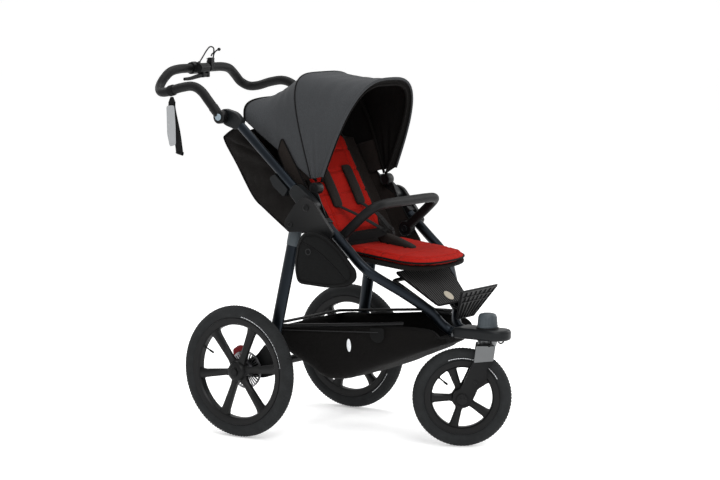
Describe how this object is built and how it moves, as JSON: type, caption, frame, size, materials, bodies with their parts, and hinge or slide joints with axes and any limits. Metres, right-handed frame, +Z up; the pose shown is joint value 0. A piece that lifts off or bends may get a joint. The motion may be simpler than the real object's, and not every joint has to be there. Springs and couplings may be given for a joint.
{
  "type": "stroller",
  "caption": "Three-wheeled folding baby stroller with air-filled tyres, swivelling front fork, red padded seat, grey hood, bumper bar, basket and tilting handlebar",
  "frame": {"origin": "middle of the bounding box's footprint, on the ground", "axes": "+Z up; the stroller faces -Y; its own right side is -X"},
  "size_m": [0.656, 1.163, 1.1623],
  "materials": {
    "frame": "blue-grey anodised, brushed along the tube",
    "rail": "satin rod",
    "plastic_grey": "fine moulded grain",
    "plastic_dark": "fine moulded grain",
    "light_plastic": "smooth moulded",
    "red_plastic": "smooth moulded",
    "foam": "closed-cell foam grip",
    "webbing": "woven webbing",
    "tyre": "matt rubber with tread",
    "rim": "moulded, fine grain",
    "steel": "turned",
    "disc": "ground",
    "red_fabric": "quilted woven polyester",
    "dark_fabric": "plain woven polyester",
    "calf_fabric": "fine-striped woven polyester",
    "canopy_fabric": "plain woven polyester, melange grey"
  },
  "bodies": {
    "frame": {"lower_tube_right": "frame", "lower_tube_left": "frame", "hinge_cheek_right": "plastic_dark", "hinge_cheek_left": "plastic_dark", "front_head": "plastic_grey", "seat_base": "dark_fabric", "seat_pad": "red_fabric", "seat_side_right": "dark_fabric", "seat_side_left": "dark_fabric", "crotch_buckle": "dark_fabric", "back_cover": "dark_fabric", "canopy_rear": "canopy_fabric", "canopy_bow_rear": "plastic_dark", "canopy_hub_right": "plastic_dark", "canopy_hub_left": "plastic_dark", "basket": "dark_fabric", "basket_hoop": "rail", "side_bag": "dark_fabric"},
    "upper_frame": {"upper_tube_right": "frame", "upper_tube_left": "frame", "hinge_arm_right": "plastic_grey", "hinge_arm_left": "plastic_grey", "handle_housing_right": "plastic_grey", "handle_housing_left": "plastic_grey"},
    "handle": {"handlebar": "foam", "brake_clamp": "plastic_dark", "brake_cable": "plastic_dark"},
    "brake_lever": {"brake_lever": "plastic_dark"},
    "handle_button_right": {"handle_button_right": "light_plastic"},
    "handle_button_left": {"handle_button_left": "light_plastic"},
    "fold_release_right": {"fold_release_right": "plastic_grey"},
    "fold_release_left": {"fold_release_left": "plastic_grey"},
    "wrist_strap": {"wrist_strap": "webbing"},
    "rear_frame": {"rear_leg_right": "frame", "rear_leg_left": "frame", "rear_axle": "plastic_dark", "brake_caliper_right": "red_plastic", "brake_caliper_left": "red_plastic"},
    "rear_wheel_right": {"rear_tyre_right": "tyre", "rear_rim_right": "rim", "brake_disc_right": "disc"},
    "rear_wheel_left": {"rear_tyre_left": "tyre", "rear_rim_left": "rim", "brake_disc_left": "disc"},
    "fork": {"fork": "plastic_dark", "front_axle": "steel"},
    "front_wheel": {"front_tyre": "tyre", "front_rim": "rim"},
    "steering_knob": {"steering_knob": "plastic_grey"},
    "canopy_front_bow": {"canopy_bow_front": "plastic_dark", "canopy_front": "canopy_fabric"},
    "backrest": {"backrest": "red_fabric", "harness_pad_right": "dark_fabric", "harness_pad_left": "dark_fabric"},
    "calf_rest": {"calf_frame": "plastic_dark", "calf_panel": "calf_fabric"},
    "footrest": {"footrest": "plastic_dark"},
    "bumper_bar": {"bumper_bar": "foam"},
    "bumper_button_right": {"bumper_button_right": "plastic_grey"},
    "bumper_button_left": {"bumper_button_left": "plastic_grey"}
  },
  "joints": [
    {"name": "frame_fold", "type": "hinge", "parent": "frame", "child": "upper_frame", "pos_m": [0, -0.0265, 0.703], "axis": [1, 0, 0], "range_deg": [0, 135]},
    {"name": "rear_leg_fold", "type": "hinge", "parent": "frame", "child": "rear_frame", "pos_m": [0, 0.0305, 0.65], "axis": [1, 0, 0], "range_deg": [-46, 0.5], "deforming": ["basket"]},
    {"name": "handle_tilt", "type": "hinge", "parent": "upper_frame", "child": "handle", "pos_m": [0, 0.2965, 0.961], "axis": [1, 0, 0], "range_deg": [-40, 25]},
    {"name": "brake_squeeze", "type": "hinge", "parent": "handle", "child": "brake_lever", "pos_m": [-0.014, 0.5305, 1.079], "axis": [0, 0, -1], "range_deg": [0, 14], "stiffness_Nm_per_rad": 1.5},
    {"name": "wrist_strap_swing", "type": "hinge", "parent": "handle", "child": "wrist_strap", "pos_m": [-0.2304, 0.493, 1.012], "axis": [1, 0, 0], "range_deg": [-25, 45]},
    {"name": "rear_spin_right", "type": "hinge", "parent": "rear_frame", "child": "rear_wheel_right", "pos_m": [-0.297, 0.1885, 0.2], "axis": [1, 0, 0], "continuous": true},
    {"name": "rear_spin_left", "type": "hinge", "parent": "rear_frame", "child": "rear_wheel_left", "pos_m": [0.297, 0.1885, 0.2], "axis": [1, 0, 0], "continuous": true},
    {"name": "fork_swivel", "type": "hinge", "parent": "frame", "child": "fork", "pos_m": [0, -0.5075, 0.3], "axis": [0, 0, 1], "continuous": true},
    {"name": "front_spin", "type": "hinge", "parent": "fork", "child": "front_wheel", "pos_m": [-0.03998, -0.44475, 0.1478], "axis": [0.8434, 0.5373, 0], "continuous": true},
    {"name": "steering_lock", "type": "hinge", "parent": "frame", "child": "steering_knob", "pos_m": [0, -0.5075, 0.357], "axis": [0, 0, 1], "range_deg": [0, 90]},
    {"name": "canopy_fold", "type": "hinge", "parent": "frame", "child": "canopy_front_bow", "pos_m": [0, -0.0225, 0.757], "axis": [1, 0, 0], "range_deg": [-33, 0], "deforming": ["canopy_front", "canopy_rear"]},
    {"name": "backrest_recline", "type": "hinge", "parent": "frame", "child": "backrest", "pos_m": [0, -0.0395, 0.598], "axis": [1, 0, 0], "range_deg": [-14, 6]},
    {"name": "calf_rest_tilt", "type": "hinge", "parent": "frame", "child": "calf_rest", "pos_m": [0, -0.2695, 0.512], "axis": [1, 0, 0], "range_deg": [-28, 0]},
    {"name": "footrest_tilt", "type": "hinge", "parent": "calf_rest", "child": "footrest", "pos_m": [0, -0.4155, 0.386], "axis": [1, 0, 0], "range_deg": [-15, 25]},
    {"name": "bumper_tilt", "type": "hinge", "parent": "frame", "child": "bumper_bar", "pos_m": [0, -0.1025, 0.609], "axis": [1, 0, 0], "range_deg": [-50, 0]},
    {"name": "handle_button_right_press", "type": "slide", "parent": "handle", "child": "handle_button_right", "axis": [1, 0, 0], "range_m": [0, 0.004], "stiffness_N_per_m": 900},
    {"name": "bumper_button_right_press", "type": "slide", "parent": "bumper_bar", "child": "bumper_button_right", "axis": [-1, 0, 0], "range_m": [0, 0.0035], "stiffness_N_per_m": 900},
    {"name": "fold_release_right_slide", "type": "slide", "parent": "upper_frame", "child": "fold_release_right", "axis": [0, 0.7478, 0.6639], "range_m": [0, 0.012], "stiffness_N_per_m": 400},
    {"name": "handle_button_left_press", "type": "slide", "parent": "handle", "child": "handle_button_left", "axis": [-1, 0, 0], "range_m": [0, 0.004], "stiffness_N_per_m": 900},
    {"name": "bumper_button_left_press", "type": "slide", "parent": "bumper_bar", "child": "bumper_button_left", "axis": [1, 0, 0], "range_m": [0, 0.0035], "stiffness_N_per_m": 900},
    {"name": "fold_release_left_slide", "type": "slide", "parent": "upper_frame", "child": "fold_release_left", "axis": [0, 0.7478, 0.6639], "range_m": [0, 0.012], "stiffness_N_per_m": 400}
  ],
  "couplings": [
    {"joint": "rear_leg_fold", "follows": "frame_fold", "ratio": -0.33333},
    {"joint": "fold_release_left_slide", "follows": "fold_release_right_slide", "ratio": 1}
  ]
}
